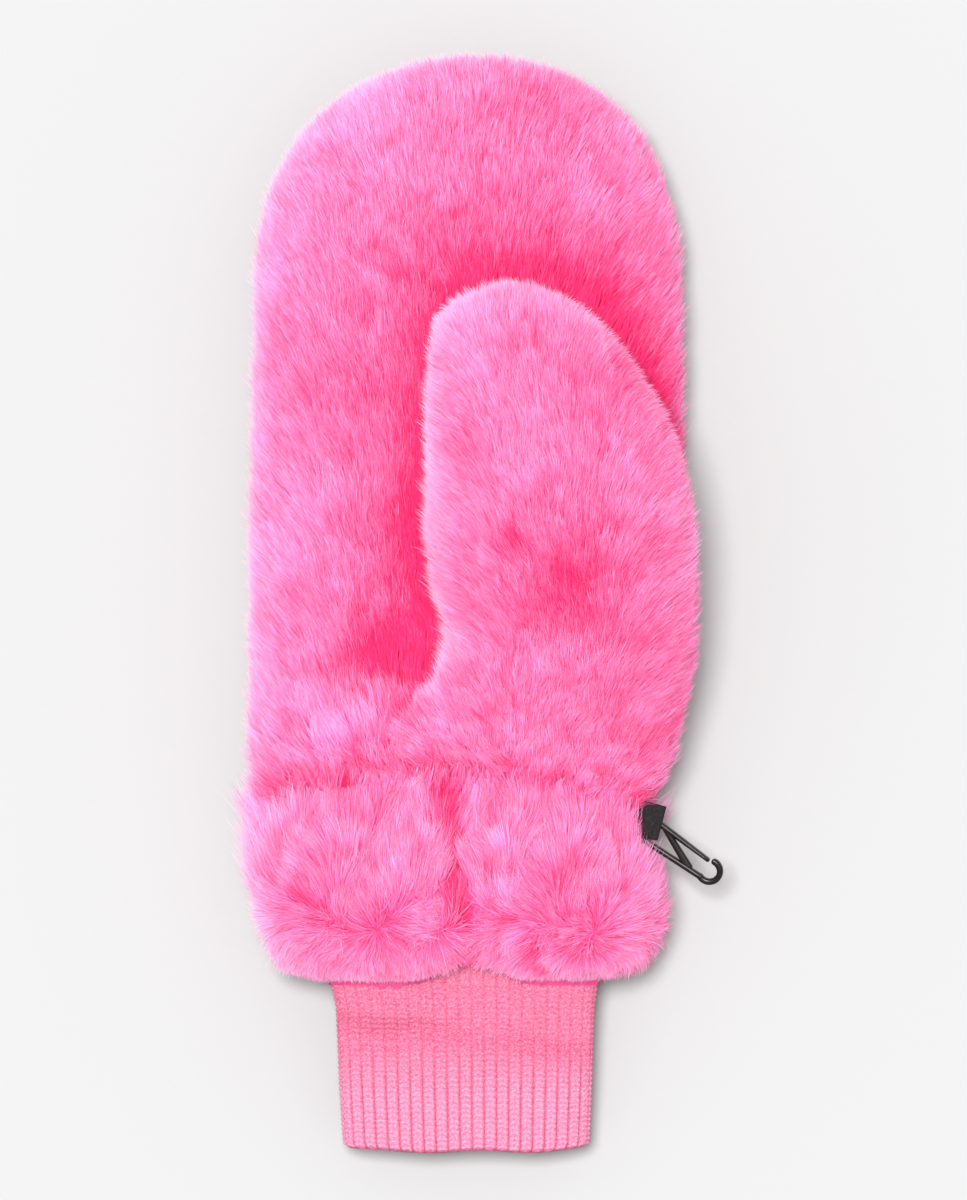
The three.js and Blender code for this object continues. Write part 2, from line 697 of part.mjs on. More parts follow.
// Assembly
const far = 4 * (handLength + handWidth);
const seamHeight = handDepth / 2 - 1;
const below = box(new THREE.Vector3(-far, -far, -far), new THREE.Vector3(far, far, seamHeight - seamGap / 2));
const above = box(new THREE.Vector3(-far, -far, seamHeight + seamGap / 2), new THREE.Vector3(far, far, far));
const pocket = strapPocket();
const underHand = cuffSide(seamGap / 2);
const hand = handOuter().subtract(handHollow()).subtract(thumbHollow()).subtract(pocket).subtract(underHand);
const thumb = thumbOuter()
  .subtract(handOuter(seamGap, false))
  .subtract(thumbHollow())
  .subtract(pocket)
  .subtract(underHand);
const gauntlet = gauntletOuter()
  .subtract(gauntletHollow())
  .subtract(pocket)
  .intersect(cuffSide(-seamGap / 2));

const pieces = [
  mesh("hand_back_fur", hand.intersect(below), pileColor, 0.95),
  mesh("hand_palm_fur", hand.intersect(above), pileColor, 0.95),
  mesh("thumb_fur", thumb, pileColor, 0.95),
  mesh("gauntlet_fur", gauntlet, pileColor, 0.95),
  mesh("rib_cuff", ribCuff(), knitColor, 0.9),
  mesh("strap_loop", strap().transform(clipFrame.elements), strapColor, 0.85),
  mesh("snap_hook", hook().transform(clipFrame.elements), hookColor, 0.35),
];

// The origin is the middle of the box round everything, at the surface that the mitten lies on.
const mitten = new THREE.Group();
mitten.add(...pieces);
const bounds = new THREE.Box3().setFromObject(mitten);
const middle = bounds.getCenter(new THREE.Vector3());
mitten.position.set(-middle.x, -middle.y, -bounds.min.z);

export default mitten;
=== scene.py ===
import math

import bpy
import numpy as np
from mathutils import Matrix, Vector, kdtree
from mathutils.bvhtree import BVHTree


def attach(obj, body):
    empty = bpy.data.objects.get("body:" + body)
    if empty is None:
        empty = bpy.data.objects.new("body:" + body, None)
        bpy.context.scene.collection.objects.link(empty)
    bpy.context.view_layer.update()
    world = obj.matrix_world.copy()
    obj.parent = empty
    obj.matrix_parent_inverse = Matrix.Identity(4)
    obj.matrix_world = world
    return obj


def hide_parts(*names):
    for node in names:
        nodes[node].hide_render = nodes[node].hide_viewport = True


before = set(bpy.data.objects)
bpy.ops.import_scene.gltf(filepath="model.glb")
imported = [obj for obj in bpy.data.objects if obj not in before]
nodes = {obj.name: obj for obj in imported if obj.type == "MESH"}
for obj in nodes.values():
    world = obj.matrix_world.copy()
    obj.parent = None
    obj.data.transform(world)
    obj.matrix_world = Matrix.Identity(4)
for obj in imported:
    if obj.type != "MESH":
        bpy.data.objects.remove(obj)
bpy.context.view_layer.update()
mm = 0.001
scene = bpy.context.scene
scene.view_settings.view_transform = "Standard"

# Camera: straight above the palm, finger tips up
PIXEL = 0.285 * mm  # one pixel of the 967 by 1200 picture
LENS, SENSOR = 600, 36
REACH = 1200 / 2 * PIXEL / (SENSOR / 2 / LENS)
camera = bpy.data.objects.new("camera", bpy.data.cameras.new("camera"))
camera.data.lens = LENS
camera.data.sensor_width = SENSOR
camera.data.clip_start, camera.data.clip_end = 0.1, 30
camera.location = (-0.7 * mm, 0.9 * mm, REACH + 23 * mm)
scene.collection.objects.link(camera)
scene.camera = camera


# Node helpers
def material(name):
    made = bpy.data.materials.new(name)
    made.use_nodes = True
    tree = made.node_tree
    return made, tree, tree.nodes["Principled BSDF"]


def link(tree, source, target):
    tree.links.new(source, target)


def ramp(tree, factor, stops):
    node = tree.nodes.new("ShaderNodeValToRGB")
    while len(node.color_ramp.elements) < len(stops):
        node.color_ramp.elements.new(0.5)
    for element, (at, colour) in zip(node.color_ramp.elements, stops):
        element.position = at
        element.color = (*colour, 1)
    link(tree, factor, node.inputs["Fac"])
    return node.outputs["Color"]


def blend_colour(tree, factor, low, high):
    """A mix of two colours, by one number or by a socket."""
    node = tree.nodes.new("ShaderNodeMix")
    node.data_type = "RGBA"
    if isinstance(factor, float):
        node.inputs["Factor"].default_value = factor
    else:
        link(tree, factor, node.inputs["Factor"])
    link(tree, low, node.inputs[6])
    link(tree, high, node.inputs[7])
    return node.outputs[2]


def noise(tree, scale, detail):
    node = tree.nodes.new("ShaderNodeTexNoise")
    node.inputs["Scale"].default_value = scale
    node.inputs["Detail"].default_value = detail
    link(tree, tree.nodes.new("ShaderNodeTexCoord").outputs["Object"], node.inputs["Vector"])
    return node.outputs["Fac"]


def bump(tree, height, strength, distance, shader):
    node = tree.nodes.new("ShaderNodeBump")
    node.inputs["Strength"].default_value = strength
    node.inputs["Distance"].default_value = distance
    link(tree, height, node.inputs["Height"])
    link(tree, node.outputs["Normal"], shader.inputs["Normal"])


# The pile's colour goes from a deep root to a pale tip. Its map holds the hair's shade across and the place along
# the hair upwards, so that every hair has a colour of its own; the shade also carries painted light and shade.
pile, tree, shader = material("pile")
uv = tree.nodes.new("ShaderNodeUVMap")
uv.uv_map = "OFBake"
parts = tree.nodes.new("ShaderNodeSeparateXYZ")
link(tree, uv.outputs["UV"], parts.inputs["Vector"])
deep = ramp(tree, parts.outputs["Y"], [
    (0.0, (0.76, 0.01, 0.08)), (0.3, (0.81, 0.016, 0.12)),
    (0.7, (0.87, 0.032, 0.2)), (1.0, (0.92, 0.065, 0.31))])
pale = ramp(tree, parts.outputs["Y"], [
    (0.0, (0.9, 0.12, 0.44)), (0.3, (0.94, 0.22, 0.6)),
    (0.7, (0.96, 0.41, 0.78)), (1.0, (0.98, 0.65, 0.86))])
hair_colour = blend_colour(tree, parts.outputs["X"], deep, pale)
link(tree, hair_colour, shader.inputs["Base Color"])
shader.inputs["Roughness"].default_value = 0.65
shader.inputs["Specular IOR Level"].default_value = 0.15
shader.inputs["Sheen Weight"].default_value = 0.06
shader.inputs["Sheen Tint"].default_value = (1.0, 0.6, 0.8, 1)
# Light shines through the fine hairs, so that they are bright from below too.
through = tree.nodes.new("ShaderNodeBsdfTranslucent")
link(tree, hair_colour, through.inputs["Color"])
lit = tree.nodes.new("ShaderNodeMixShader")
lit.inputs["Fac"].default_value = 0.36
link(tree, shader.outputs["BSDF"], lit.inputs[1])
link(tree, through.outputs["BSDF"], lit.inputs[2])
link(tree, lit.outputs["Shader"], tree.nodes["Material Output"].inputs["Surface"])


# Meshes from arrays
def welded(obj):
    """A solid's points, with those at the same place joined, and its triangles."""
    data = obj.data
    co = np.empty(len(data.vertices) * 3, np.float32)
    data.vertices.foreach_get("co", co)
    co = co.reshape(-1, 3).astype(float)
    data.calc_loop_triangles()
    tri = np.empty(len(data.loop_triangles) * 3, np.int32)
    data.loop_triangles.foreach_get("vertices", tri)
    places = np.round(co / 2e-6).astype(np.int64)
    _, first, back = np.unique(places, axis=0, return_index=True, return_inverse=True)
    tri = back.reshape(-1)[tri.reshape(-1, 3)]
    good = (tri[:, 0] != tri[:, 1]) & (tri[:, 1] != tri[:, 2]) & (tri[:, 0] != tri[:, 2])
    return co[first], tri[good]


def unit(v):
    return v / np.maximum(np.linalg.norm(v, axis=-1, keepdims=True), 1e-12)


def build(name, co, faces, coat, uvs=None, normals=None):
    """A mesh piece from points and face arrays, with a map place and a normal for each corner."""
    data = bpy.data.meshes.new(name)
    data.vertices.add(len(co))
    data.vertices.foreach_set("co", np.asarray(co, np.float32).ravel())
    corners = np.concatenate([f.ravel() for f in faces]).astype(np.int32)
    sizes = np.concatenate([np.full(len(f), f.shape[1]) for f in faces])
    data.loops.add(len(corners))
    data.loops.foreach_set("vertex_index", corners)
    data.polygons.add(len(sizes))
    data.polygons.foreach_set("loop_start", (np.cumsum(sizes) - sizes).astype(np.int32))
    data.update(calc_edges=True)
    data.polygons.foreach_set("use_smooth", np.full(len(sizes), True))
    if uvs is not None:
        layer = data.uv_layers.new(name="OFBake")
        spots = np.concatenate([u.reshape(-1, 2) for u in uvs])
        layer.data.foreach_set("uv", spots.astype(np.float32).ravel())
    if normals is not None:
        ways = np.concatenate([n.reshape(-1, 3) for n in normals])
        data.normals_split_custom_set(ways.astype(np.float32))
    data.materials.append(coat)
    obj = bpy.data.objects.new(name, data)
    scene.collection.objects.link(obj)
    return obj


# Fur
solids = {n: welded(nodes[n]) for n in nodes}
trees = {n: BVHTree.FromPolygons(co.tolist(), tri.tolist()) for n, (co, tri) in solids.items()}


def line_of(names):
    """The middle line of some nodes along Y: rows of Y, the middle X and Z there, and half the width."""
    co = np.concatenate([solids[n][0] for n in names])
    steps = np.arange(co[:, 1].min(), co[:, 1].max(), 6 * mm)
    found = []
    for y in steps:
        near = co[np.abs(co[:, 1] - y) < 7 * mm]
        if len(near) > 3:
            low, high = near.min(0), near.max(0)
            found.append([y, (low[0] + high[0]) / 2, (low[2] + high[2]) / 2, (high[0] - low[0]) / 2])
    return np.array(found)


def wander(p, seed, size):
    """A smooth value from about -1 to 1 that drifts over the given distance."""
    turn = np.random.default_rng(seed)
    total = 0
    for _ in range(5):
        wave = turn.normal(size=3)
        total = total + np.sin(p @ wave / size * 2.2 + turn.uniform(0, 6.3))
    return total / 2.6


def outer_faces(name, line, ends):
    """Which faces of a solid carry hairs, with every face's area and normal."""
    co, tri = solids[name]
    middle = co[tri].mean(1)
    normal = np.cross(co[tri[:, 1]] - co[tri[:, 0]], co[tri[:, 2]] - co[tri[:, 0]])
    area = np.linalg.norm(normal, axis=1) / 2
    normal = unit(normal)
    y = np.clip(middle[:, 1], *ends)
    axis = np.stack([np.interp(y, line[:, 0], line[:, 1]), y, np.interp(y, line[:, 0], line[:, 2])], 1)
    out = (np.einsum("ij,ij->i", normal, unit(middle - axis)) > 0.05) & (area > 1e-9)
    # Faces that are open to the sky count too.
    for i in np.nonzero(~out & (normal[:, 2] > 0.15) & (area > 1e-9))[0]:
        start = Vector(middle[i] + normal[i] * 0.02 * mm)
        out[i] = all(trees[other].ray_cast(start, Vector((0, 0, 1)))[0] is None for other in solids)
    # Faces that lie close to another piece stay bare.
    for i in np.nonzero(out)[0]:
        start, way = Vector(middle[i] + normal[i] * 0.02 * mm), Vector(normal[i])
        for other in solids:
            hit = trees[other].ray_cast(start, way, 1.2 * mm)
            if hit[0] is not None and other != name:
                out[i] = False
    if name == "hand_palm_fur":
        # The walls of the thumb's hole have no hairs.
        near_hole = (middle[:, 0] > -12 * mm) & (middle[:, 0] < 44 * mm) & (middle[:, 1] < 2 * mm)
        out &= ~(near_hole & (normal[:, 2] < 0.5))
    return out, area, normal


# Painted light and shade: places where the hairs are painted paler, as on the tops of the hand and thumb, and
# deeper, as in the dimples and beside the thumb; x, y and reach in millimetres, and the change of shade
PAINTED_SPOTS = [(-30.2, -16.2, 12.0, -0.45), (25.4, 0.9, 11.0, -0.4), (8.8, 16.6, 2.5, -0.35),
         (-38.0, 137.0, 26.0, 0.12), (14.0, 8.0, 24.0, -0.17), (42.0, -32.0, 14.0, -0.16),
         (42.0, 62.0, 14.0, -0.14), (-52.0, 20.0, 16.0, 0.12), (-10.0, 100.0, 16.0, -0.06),
         (-1.7, 84.0, 14.0, 0.12), (-44.0, -40.0, 14.0, 0.1), (17.0, -40.0, 16.0, 0.1)]
# The fold that runs down from the thumb's crotch
FOLD = np.array([[-8.8, -14.8], [-24.5, -26.2], [-40.2, -39.0], [-53.0, -45.3]]) * mm
WRIST_Y = -56.1 * mm
UPPER_Z = 18 * mm  # what lies above this height is on the mitten's upper side
# Sizes in millimetres, of a long bent hair and of a short straight one
HAIR_LENGTH, HAIR_DEPTH, HAIR_HALF = (9.5, 5.6), (4.0, 3.0), (0.15, 0.14)
HIDE_DEPTH = 3.6
# Hairs on each piece: straight ones of one face and bent ones of two
thin = 1.0
STRAIGHT, BENT = int(126000 * thin), int(19000 * thin)


def past_wrist(p):
    """How far points lie past the arched wrist line, towards the finger tips."""
    sag = 13 * mm * ((np.abs(p[:, 0] + 12.4 * mm) / (62.5 * mm)) ** 3 - 0.15)
    return p[:, 1] - WRIST_Y + sag


def on_fold(p):
    """1 on the fold's ridge, falling to 0 beside it."""
    near = np.full(len(p), 1.0)
    for a, b in zip(FOLD[:-1], FOLD[1:]):
        t = np.clip((p[:, :2] - a) @ (b - a) / ((b - a) @ (b - a)), 0, 1)
        near = np.minimum(near, np.linalg.norm(p[:, :2] - a - t[:, None] * (b - a), axis=1))
    return np.exp(-(near / (4.5 * mm)) ** 2) * (p[:, 2] > 25 * mm)


def beside_crease(p):
    """How far points lie right of the fur band's crease, which slants from the wrist line to the mouth."""
    return p[:, 0] - np.interp(p[:, 1], [-110 * mm, -57 * mm], [-3.4 * mm, -12.6 * mm])


def painted_light_and_shade(p):
    """Painted light and shade on the hairs from place to place: light on the fold's ridge, shade in the band's
    crease, in the gather above the wrist line and at the listed places.
    """
    upper = p[:, 2] > UPPER_Z
    crease = np.exp(-(beside_crease(p) / (2.4 * mm)) ** 2) * (p[:, 1] < -54 * mm) * upper
    # Painted light on the fold's ridge and painted shade in the fur band's crease
    total = 0.3 * on_fold(p) - 0.5 * crease
    # Painted shade in the gather just above the wrist line
    gather = np.exp(-((past_wrist(p) - 5 * mm) / (4 * mm)) ** 2) * upper
    total = total - (0.16 + 0.12 * wander(p, 61, 9 * mm)) * gather
    for x, y, reach, change in PAINTED_SPOTS:
        gap = np.hypot(p[:, 0] - x * mm, p[:, 1] - y * mm) / (reach * mm)
        total = total + change * np.exp(-gap ** 2) * upper
    return total


def fur(name, node, line, ends, nap, seed, loose, reach=lambda p: 1.0):
    """A hide under the CAD solid's outer side, with its hairs, as one piece that stands for the solid.

    nap gives the hairs' way and how far they stand up, loose how far they clump, and reach their length.
    """
    dice = np.random.default_rng(seed)
    co, tri = solids[node]
    out, area, flat = outer_faces(node, line, ends)
    if node == "gauntlet_fur":
        # The two lobes leave a notch between them at the mouth.
        notch = np.exp(-((co[:, 0] + 4 * mm) / (9 * mm)) ** 2)
        notch = notch * np.clip((-94 * mm - co[:, 1]) / (16 * mm), 0, 1)
        co = co + (notch * (co[:, 2] > 24 * mm) * 9 * mm)[:, None] * np.array([0, 1, 0])
    smooth = np.zeros_like(co)
    for k in range(3):
        np.add.at(smooth, tri[out][:, k], (flat * area[:, None])[out])
    for _ in range(2):
        total = np.zeros_like(co)
        for k in range(3):
            np.add.at(total, tri[out][:, k], unit(smooth)[tri[out]].mean(1))
        smooth = np.where(np.linalg.norm(total, axis=1, keepdims=True) > 0, total, smooth)
    smooth = unit(smooth)
    on_side = np.zeros(len(co), bool)
    on_side[tri[out]] = True

    # Places of the hairs' roots, the long bent hairs first
    count = STRAIGHT + BENT
    bent = np.arange(count) < BENT
    weights = area * out
    face = dice.choice(len(tri), count, p=weights / weights.sum())
    r1, r2 = np.sqrt(dice.random(count)), dice.random(count)
    bary = np.stack([1 - r1, r1 * (1 - r2), r1 * r2], 1)
    place = np.einsum("ij,ijk->ik", bary, co[tri[face]])
    up = unit(np.einsum("ij,ijk->ik", bary, smooth[tri[face]]))

    def under(points):
        """The painted shadow of the thumb on the palm: a change of shade, deep where the thumb lies on it."""
        if node != "hand_palm_fur":
            return 0
        gap = np.array([trees["thumb_fur"].find_nearest(p)[3] for p in points])
        low = np.interp(points[:, 1], [-37 * mm, -21 * mm, 30 * mm, 75 * mm], [0.05, 0.85, 1.0, 0.6])
        near = 3 * mm + 5 * mm * np.clip((points[:, 0] - 5 * mm) / (25 * mm), 0, 1)
        return -low * np.exp(-np.maximum(gap - near, 0) / (8 * mm))

    slack = loose(place)
    scale = reach(place) * (1 + 0.25 * on_fold(place))
    edge = np.clip(1 - np.abs(up[:, 2]) * 1.6, 0, 1)
    # Painted rim light: the hairs at the mitten's edges are paler, more so on the left side
    rim = np.clip(1.25 * (1 - np.abs(up[:, 2])), 0, 1) * (0.75 - 0.35 * up[:, 0])
    length = np.where(bent, *HAIR_LENGTH) * mm * scale * dice.uniform(0.75, 1.15, count)
    at_line = np.exp(-np.abs(past_wrist(place)) / (7 * mm))
    way, stand = nap(place)
    # Hairs that point off the surface ahead of them, as at the tips, are shorter and sit deeper.
    ahead = np.clip(0.35 * way[:, 0] * up[:, 0] + way[:, 1] * up[:, 1], 0, 1)
    length = length * (1 + 0.25 * slack + 0.4 * at_line + 0.15 * edge) * (1 - 0.4 * ahead)
    depth = np.where(bent, *HAIR_DEPTH) * (1 - 0.4 * at_line) + 1.2 * ahead + 0.3 * edge
    root = place - up * (depth * mm)[:, None]
    way = way + 0.16 * wander(place, seed + 1, 9 * mm)[:, None] * np.cross(up, way)
    stand = stand + 0.1 * wander(place, seed + 2, 6 * mm) + 0.2 * edge

    def lean(n, way, turn, angle):
        along = unit(way - n * np.einsum("ij,ij->i", way, n)[:, None])
        along = along * np.cos(turn)[:, None] + np.cross(n, along) * np.sin(turn)[:, None]
        return along * np.cos(angle)[:, None] + n * np.sin(angle)[:, None]

    turn, tilt = dice.normal(0, 0.2, count), dice.normal(0, 0.12, count) + stand
    early = lean(up, way, turn, np.where(bent, 0.85, 0.58) + tilt)
    late = lean(up, way, turn, np.where(bent, 0.36, 0.58) + tilt)
    mid = root + early * (length * 0.45)[:, None]
    tip = mid + late * (length * 0.55)[:, None]

    # Hairs lean together in fine tufts, and in loose locks near the wrist line.
    shade = np.zeros(count)
    for every, pull in ((9.0, 0.42), (280.0, 0.06 + 0.52 * slack)):
        centres = dice.choice(count, int(count / every), replace=False)
        finder = kdtree.KDTree(len(centres))
        for i, c in enumerate(centres):
            finder.insert(root[c], i)
        finder.balance()
        found = [finder.find(p)[1:] for p in root]
        tuft = np.array([f[0] for f in found])
        from_middle = np.array([f[1] for f in found])
        aim_way = lean(up[centres], way[centres], dice.normal(0, 0.16, len(centres)),
                       0.55 + stand[centres] + dice.normal(0, 0.08, len(centres)))
        far = 8.0 * mm * np.broadcast_to(scale, count)[centres]
        aim = place[centres] - up[centres] * 3.2 * mm + aim_way * far[:, None]
        pull = np.broadcast_to(pull, count) * dice.uniform(0.4, 1.2, count)
        keep = np.clip(length / (8 * mm), 0, 1)
        tip = tip + (aim[tuft] - tip) * (pull * keep)[:, None]
        mid = mid + (aim[tuft] - mid) * (pull * keep * 0.3)[:, None]
        shade = shade + dice.normal(0, 0.06, len(centres))[tuft] * (1 + 0.5 * slack)
        # Painted shade at each tuft's border and painted light at its middle, stronger in the loose locks
        shade = shade + (0.03 + 0.12 * slack) * (1 - from_middle / from_middle.mean())
    for points in (mid, tip):
        points[:, 2] = np.maximum(points[:, 2], 0.3 * mm)

    # Flat tapering hairs: bent ones of two faces, and straight ones of one
    run = unit(tip - root)
    side = unit(np.cross(run, up))
    spin = dice.uniform(-0.7, 0.7, count)[:, None]
    side = side * np.cos(spin) + np.cross(run, side) * np.sin(spin)
    face_way = np.cross(side, run)
    seen = np.einsum("ij,ij->i", face_way, up + np.array([0, 0, 2.5]))
    turned = np.where(seen < 0, -1.0, 1.0)[:, None]
    face_way = face_way * turned
    half = np.where(bent, *HAIR_HALF) * mm * dice.uniform(0.75, 1.25, count)
    half = side * turned * half[:, None]
    # The hairs' shade holds painted light and shade by place, the thumb's painted shadow on the palm and the
    # painted rim light
    shade = shade + 0.5 + painted_light_and_shade(place) + under(place) + 0.08 * slack + 0.45 * rim
    shade = shade + 0.05 * wander(place, seed + 9, 24 * mm) + 0.04 * wander(place, seed + 8, 7 * mm)
    shade = np.clip(shade + dice.normal(0, 0.17, count), 0.01, 0.99)
    long = np.stack([root - half, root + half, mid - half * 0.9, mid + half * 0.9, tip], 1)[bent]
    short = np.stack([root - half, root + half, tip], 1)[~bent]
    start = len(co)
    first = start + 5 * np.arange(BENT)[:, None]
    quads, tips = first + np.array([0, 1, 3, 2]), first + np.array([2, 3, 4])
    blades = start + 5 * BENT + 3 * np.arange(STRAIGHT)[:, None] + np.arange(3)

    # Hairs at the mitten's edge carry painted rim light: they are pale all along, as if light shone through them.
    def map_of(chosen, spread, heights):
        across = shade[chosen][:, None] + np.array(spread)
        painted_rim_light = 0.6 * rim[chosen][:, None]
        return np.stack([across, np.array(heights) * (1 - painted_rim_light) + painted_rim_light], 2)

    quad_map = map_of(bent, [-0.004, 0.004, 0.004, -0.004], [0.0, 0.0, 0.5, 0.5])
    tip_map = map_of(bent, [-0.004, 0.004, 0.0], [0.5, 0.5, 1.0])
    blade_map = map_of(~bent, [-0.004, 0.004, 0.0], [0.15, 0.15, 1.0])
    hide = co - smooth * (on_side * HIDE_DEPTH * mm)[:, None]
    if node == "gauntlet_fur":
        hide[:, 1] += (np.abs(past_wrist(co)) < 1.2 * mm) * 1.2 * mm
    # The hide under the hairs carries the same painted light and shade, and the thumb's painted shadow
    hide_shade = np.clip(0.4 + painted_light_and_shade(co) + under(co), 0.02, 0.98)[tri]
    hide_map = np.stack([hide_shade + np.array([-0.01, 0.01, 0.0]),
                         np.broadcast_to([0.2, 0.2, 0.24], tri.shape)], 2)
    # The hairs are shaded partly as the soft surface that they make up.
    share = (0.3 + 0.45 * np.clip(up[:, 2], 0, 1))[:, None]
    skyward = np.array([0, 0, 0.7]) * np.clip(1 - np.abs(up[:, 2:]), 0, 1)
    soft = unit(up * share + face_way * (1 - share) + skyward)
    soft[:, 2] = np.maximum(soft[:, 2], np.interp(up[:, 2], [-1, -0.6, 0, 1], [-1, -0.3, 0.55, 0.65]))
    soft = unit(soft)
    hide_normals = np.where(out[:, None, None], smooth[tri], flat[:, None])
    normals = [hide_normals, np.repeat(soft[bent], 4, 0), np.repeat(soft[bent], 3, 0),
               np.repeat(soft[~bent], 3, 0)]
    obj = build(name, np.concatenate([hide, long.reshape(-1, 3), short.reshape(-1, 3)]),
                [tri, quads, tips, blades], pile, [hide_map, quad_map, tip_map, blade_map], normals)
    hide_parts(node)
    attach(obj, "root")


hand_line = line_of(["hand_palm_fur", "hand_back_fur"])
thumb_line = line_of(["thumb_fur"])
band_line = line_of(["gauntlet_fur"])
# Between these two heights of Y the line is an axis, and beyond them its end is the middle of a dome.
hand_ends = (hand_line[0, 0], 91 * mm)
thumb_ends = (thumb_line[0, 0] + 16 * mm, thumb_line[-1, 0] - 22 * mm)
band_ends = (band_line[0, 0] + 16 * mm, band_line[-1, 0] - 8 * mm)


def fan(line, share, rim, seed, flatten=0.0):
    """A nap towards the finger tips that opens to both sides."""
    def nap(p):
        middle, half = (np.interp(p[:, 1], line[:, 0], line[:, k]) for k in (1, 3))
        off = (p[:, 0] - middle) / half
        spread = (share * off + rim * off ** 5) * np.clip((p[:, 1] - WRIST_Y) / (40 * mm), 0.35, 1)
        way = np.stack([spread + 0.15 * wander(p, seed, 30 * mm), np.ones(len(p)), np.zeros(len(p))], 1)
        return unit(way), 0.25 * on_fold(p) - flatten * np.clip((-15 * mm - p[:, 1]) / (20 * mm), 0, 1)
    return nap


# The fur band's hair parts on its crest, from one whorl in each of its two lobes.
WHORLS = np.array([[-36.0, -93.0], [27.0, -92.0]]) * mm


def band_nap(p):
    total = np.zeros_like(p)
    stand = np.zeros(len(p))
    for x, y in WHORLS:
        away = p[:, :2] - np.array([x, y])
        gap = np.linalg.norm(away, axis=1)
        total[:, :2] += away / (gap + 16 * mm)[:, None] * np.exp(-gap / (22 * mm))[:, None]
        stand += 0.3 * np.exp(-(gap / (9 * mm)) ** 2)
    parting = -92.5 * mm + 2.5 * mm * wander(p, 42, 24 * mm)
    total[:, 1] += 0.6 * np.tanh((p[:, 1] - parting) / (8 * mm))
    total[:, 0] += 0.28 * wander(p, 41, 7 * mm) + 0.3 * wander(p, 43, 15 * mm)
    total[:, 1] += 0.16 * wander(p, 44, 9 * mm)
    off = beside_crease(p)
    push = 0.5 * np.tanh(off / (1.5 * mm)) * np.exp(-np.abs(off) / (4 * mm))
    total[:, 0] += push * (p[:, 2] > UPPER_Z)
    total[:, :2] += np.random.default_rng(45).normal(0, 0.13, (len(p), 2))
    return unit(total), stand + 0.3 * np.exp(-np.abs(past_wrist(p)) / (9 * mm))


def near_wrist(p):
    return np.exp(-np.abs(past_wrist(p)) / (18 * mm))


def band_reach(p):
    reach = np.interp(p[:, 1], [-110 * mm, -100 * mm, -80 * mm], [0.5, 1.0, 1.4])
    return reach + 0.35 * np.exp(-np.abs(past_wrist(p)) / (5 * mm))


hand_nap = fan(hand_line, 0.4, 0.7, 31)
thumb_nap = fan(thumb_line, 0.45, 2.4, 32, 0.35)
fur("hand_palm_pile", "hand_palm_fur", hand_line, hand_ends, hand_nap, 11, near_wrist)
fur("hand_back_pile", "hand_back_fur", hand_line, hand_ends, hand_nap, 12, near_wrist)
fur("thumb_pile", "thumb_fur", thumb_line, thumb_ends, thumb_nap, 13, near_wrist)
fur("gauntlet_pile", "gauntlet_fur", band_line, band_ends, band_nap, 14,
    lambda p: np.full(len(p), 0.5), band_reach)

# Rib cuff: a knitted tube whose ribs and stitches are real relief
SHIFT = np.array([-4.418, -156.442, 0])  # from the CAD source's places to this frame, in millimetres
CUFF_LENGTH, CUFF_WIDTH, CUFF_DEPTH, CUFF_WALL = 61.0, 75.5, 18.0, 3.0
CUFF_MIDDLE, HEM_HEIGHT, SEAT_HEIGHT = -1.0, 14.0, 20.5
RIBS, STITCH = 46, 1.5
# The cuff's outline: share of its length from the hem, and its left and right side as shares of its width
CUFF = np.array([[0.0, -0.455, 0.45], [0.03, -0.468, 0.463], [0.3, -0.482, 0.472], [0.55, -0.49, 0.478],
                 [0.68, -0.495, 0.482], [0.78, -0.515, 0.494], [1.0, -0.5, 0.494]])
# Soft folds: across and along as shares of the cuff's width and length, their sizes, their depth in
# millimetres, and how far they slant.
FOLDS = [(-0.36, 0.53, 0.2, 0.07, 3.4, -0.1), (-0.12, 0.58, 0.16, 0.06, 1.9, 0.0),
         (0.36, 0.6, 0.14, 0.12, 2.0, 0.0), (-0.3, 0.65, 0.2, 0.05, -1.6, -0.1),
         (0.1, 0.3, 0.3, 0.12, 0.7, 0.1)]


def sink(x, y):
    """How deep the soft folds lie at a place of the cuff's upper side."""
    total = 0
    for fx, fy, wide, high, deep, slant in FOLDS:
        off_x = (x - CUFF_MIDDLE) / CUFF_WIDTH - fx
        off_y = y / CUFF_LENGTH - fy - slant * off_x
        total = total + deep * np.exp(-(off_x / wide) ** 2 - (off_y / high) ** 2)
    return total


def tube_row(y, around, shrink):
    """Points and outward directions round the cuff at one height, evenly spaced."""
    share = min(max(y / CUFF_LENGTH, 0), 1)
    left, right = (np.interp(share, CUFF[:, 0], CUFF[:, k]) * CUFF_WIDTH for k in (1, 2))
    wide, high = (right - left) / 2 - shrink, CUFF_DEPTH / 2 - shrink
    angle = np.linspace(0, 2 * math.pi, 1441)
    c, s = np.cos(angle), np.sin(angle)
    x = np.sign(c) * np.abs(c) ** 0.62 * wide
    z = np.sign(s) * np.abs(s) ** 0.62 * high
    run = np.concatenate([[0], np.cumsum(np.hypot(np.diff(x), np.diff(z)))])
    at = np.arange(around) / around * run[-1]
    x, z = np.interp(at, run, x), np.interp(at, run, z)
    tangent = np.stack([np.roll(x, -1) - np.roll(x, 1), np.roll(z, -1) - np.roll(z, 1)], 1)
    out = unit(np.stack([tangent[:, 1], -tangent[:, 0]], 1))
    x = x + CUFF_MIDDLE + (left + right) / 2
    base = HEM_HEIGHT + (SEAT_HEIGHT - HEM_HEIGHT) * share
    drop = np.where(z > high * 0.4, sink(x, y), 0) * np.clip((z / high - 0.4) * 3, 0, 1)
    return x, z + base - drop, out


def hem_lift(x, y):
    """How far the hem curves up towards the cuff's sides."""
    return 1.6 * (np.abs(x - CUFF_MIDDLE) / (CUFF_WIDTH / 2)) ** 5 * math.exp(-y / 7)


